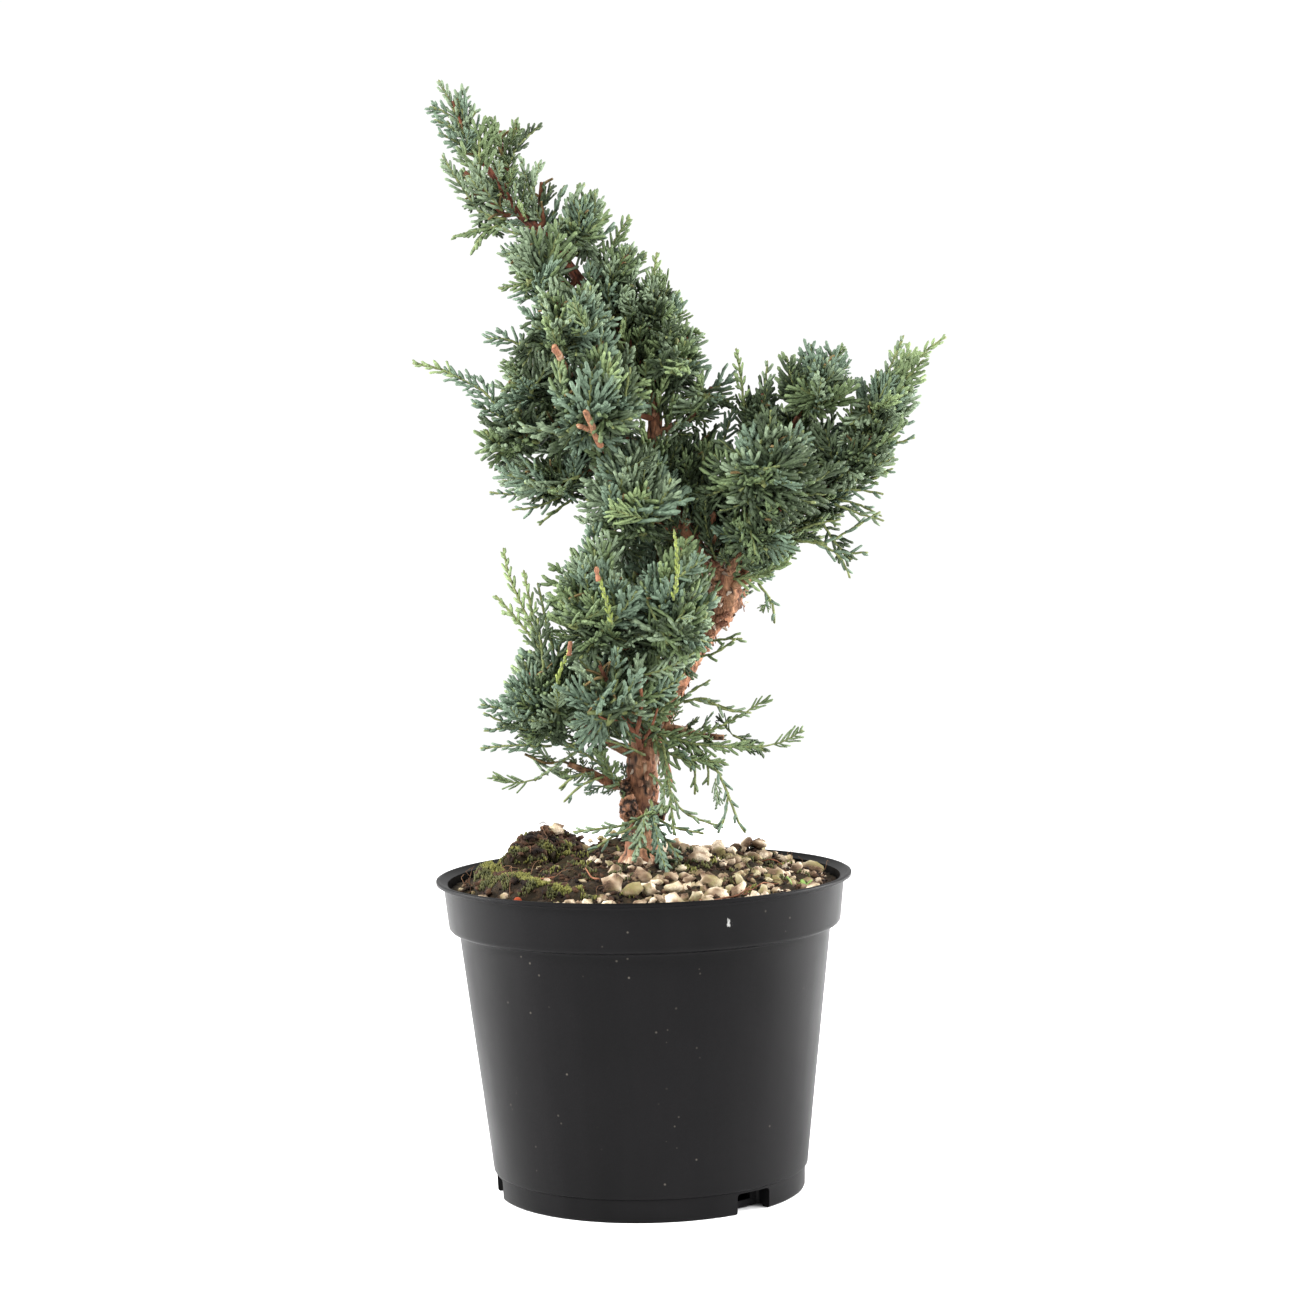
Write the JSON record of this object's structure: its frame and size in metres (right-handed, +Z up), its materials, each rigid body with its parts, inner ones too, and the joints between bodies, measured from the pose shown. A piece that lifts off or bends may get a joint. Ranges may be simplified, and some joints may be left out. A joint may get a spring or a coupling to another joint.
{
  "type": "trained juniper in a nursery pot",
  "caption": "Young blue-green juniper with an S-bent trunk, a leaning leader and a side crown, standing in a round black nursery pot filled with soil, pumice and moss.",
  "frame": {"origin": "middle of the pot's flat underside", "axes": "+Z up along the pot's axis, +X to the side that the crown's right arm reaches to, +Y to the back"},
  "size_m": [0.2394, 0.19, 0.5091],
  "materials": {
    "pot": "matte black plastic with a satin collar",
    "fill": "rough dark soil strewn with pale pumice",
    "moss": "soft and matte",
    "bark": "flaking red-brown bark",
    "foliage": "matte blue-green scale leaves"
  },
  "bodies": {
    "root": {"base_shoot": "foliage", "column_bough": "bark", "column_front": "foliage", "column_right": "foliage", "crest_left": "foliage", "crest_right_high": "foliage", "crest_right_low": "foliage", "crown_back": "foliage", "crown_back_high": "foliage", "crown_front": "foliage", "crown_front_high": "foliage", "crown_left": "foliage", "crown_left_bough": "bark", "crown_left_high": "foliage", "crown_left_low": "foliage", "crown_right": "foliage", "crown_right_bough": "bark", "crown_right_high": "foliage", "crown_right_low": "foliage", "hanging_bough": "bark", "hanging_front": "foliage", "hanging_right": "foliage", "knuckle_sprig": "foliage", "leader_left": "foliage", "leader_mid": "foliage", "leader_right": "foliage", "leader_tip": "foliage", "low_left": "foliage", "low_left_bough": "bark", "low_right": "foliage", "low_right_bough": "bark", "lower_back": "foliage", "lower_front": "foliage", "lower_left": "foliage", "lower_left_bough": "bark", "mid_back": "foliage", "mid_front_bough": "bark", "mid_front_left": "foliage", "mid_front_right": "foliage", "moss_lump": "moss", "moss_ridge": "moss", "nursery_pot": "pot", "right_back": "foliage", "right_back_bough": "bark", "right_droop": "foliage", "right_front": "foliage", "right_front_bough": "bark", "right_low": "foliage", "right_low_bough": "bark", "right_tip": "foliage", "right_tip_bough": "bark", "right_tip_low": "foliage", "right_top": "foliage", "right_top_bough": "bark", "right_top_left": "foliage", "soil_and_pumice": "fill", "trunk": "bark"}
  },
  "joints": []
}
